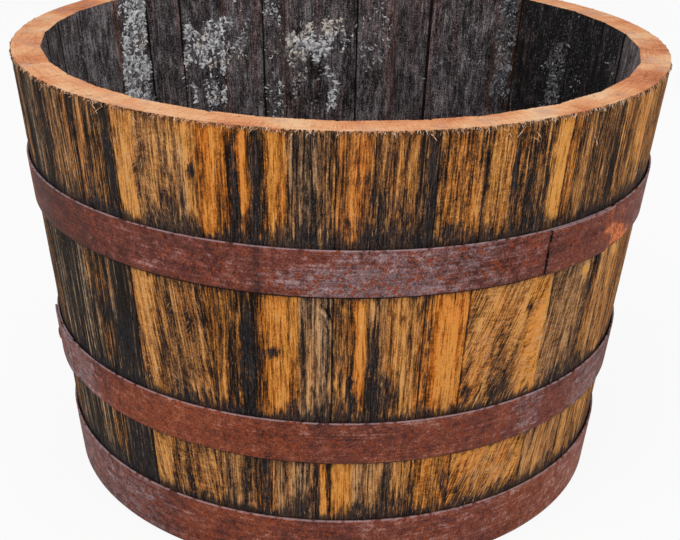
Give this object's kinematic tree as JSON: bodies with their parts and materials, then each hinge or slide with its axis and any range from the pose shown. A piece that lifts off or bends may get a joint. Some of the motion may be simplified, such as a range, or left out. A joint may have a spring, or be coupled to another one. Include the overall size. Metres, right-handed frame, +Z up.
{
  "type": "half barrel planter",
  "caption": "Round wooden tub made from the lower half of an oak cask, with tapered staves, riveted steel hoops and a drained board bottom.",
  "frame": {"origin": "middle of the footprint, on the floor that the stave ends stand on", "axes": "+Z up along the cask's axis, -Y towards the viewer of the picture, +X to the viewer's right"},
  "size_m": [0.66, 0.66, 0.45],
  "materials": {
    "stave_oak": "weathered oak, stained black in streaks, charred inside, fresh saw cut on the rim",
    "head_oak": "charred oak inside, weathered oak below",
    "dowel_wood": "plain turned wood",
    "hoop_steel": "brown rust over mild steel, satin",
    "rivet_steel": "brown rust over mild steel, satin"
  },
  "bodies": {
    "root": {"stave_01": "stave_oak", "stave_02": "stave_oak", "stave_03": "stave_oak", "stave_04": "stave_oak", "stave_05": "stave_oak", "stave_06": "stave_oak", "stave_07": "stave_oak", "stave_08": "stave_oak", "stave_09": "stave_oak", "stave_10": "stave_oak", "stave_11": "stave_oak", "stave_12": "stave_oak", "stave_13": "stave_oak", "stave_14": "stave_oak", "stave_15": "stave_oak", "stave_16": "stave_oak", "stave_17": "stave_oak", "stave_18": "stave_oak", "stave_19": "stave_oak", "stave_20": "stave_oak", "stave_21": "stave_oak", "stave_22": "stave_oak", "stave_23": "stave_oak", "stave_24": "stave_oak", "stave_25": "stave_oak", "stave_26": "stave_oak", "stave_27": "stave_oak", "stave_28": "stave_oak", "stave_29": "stave_oak", "stave_30": "stave_oak", "stave_31": "stave_oak", "stave_32": "stave_oak", "head_board_1": "head_oak", "head_board_2": "head_oak", "head_board_3": "head_oak", "head_board_4": "head_oak", "head_board_5": "head_oak", "head_dowels": "dowel_wood", "upper_hoop": "hoop_steel", "middle_hoop": "hoop_steel", "foot_hoop": "hoop_steel", "upper_hoop_rivets": "rivet_steel", "middle_hoop_rivets": "rivet_steel", "foot_hoop_rivets": "rivet_steel"}
  },
  "joints": []
}
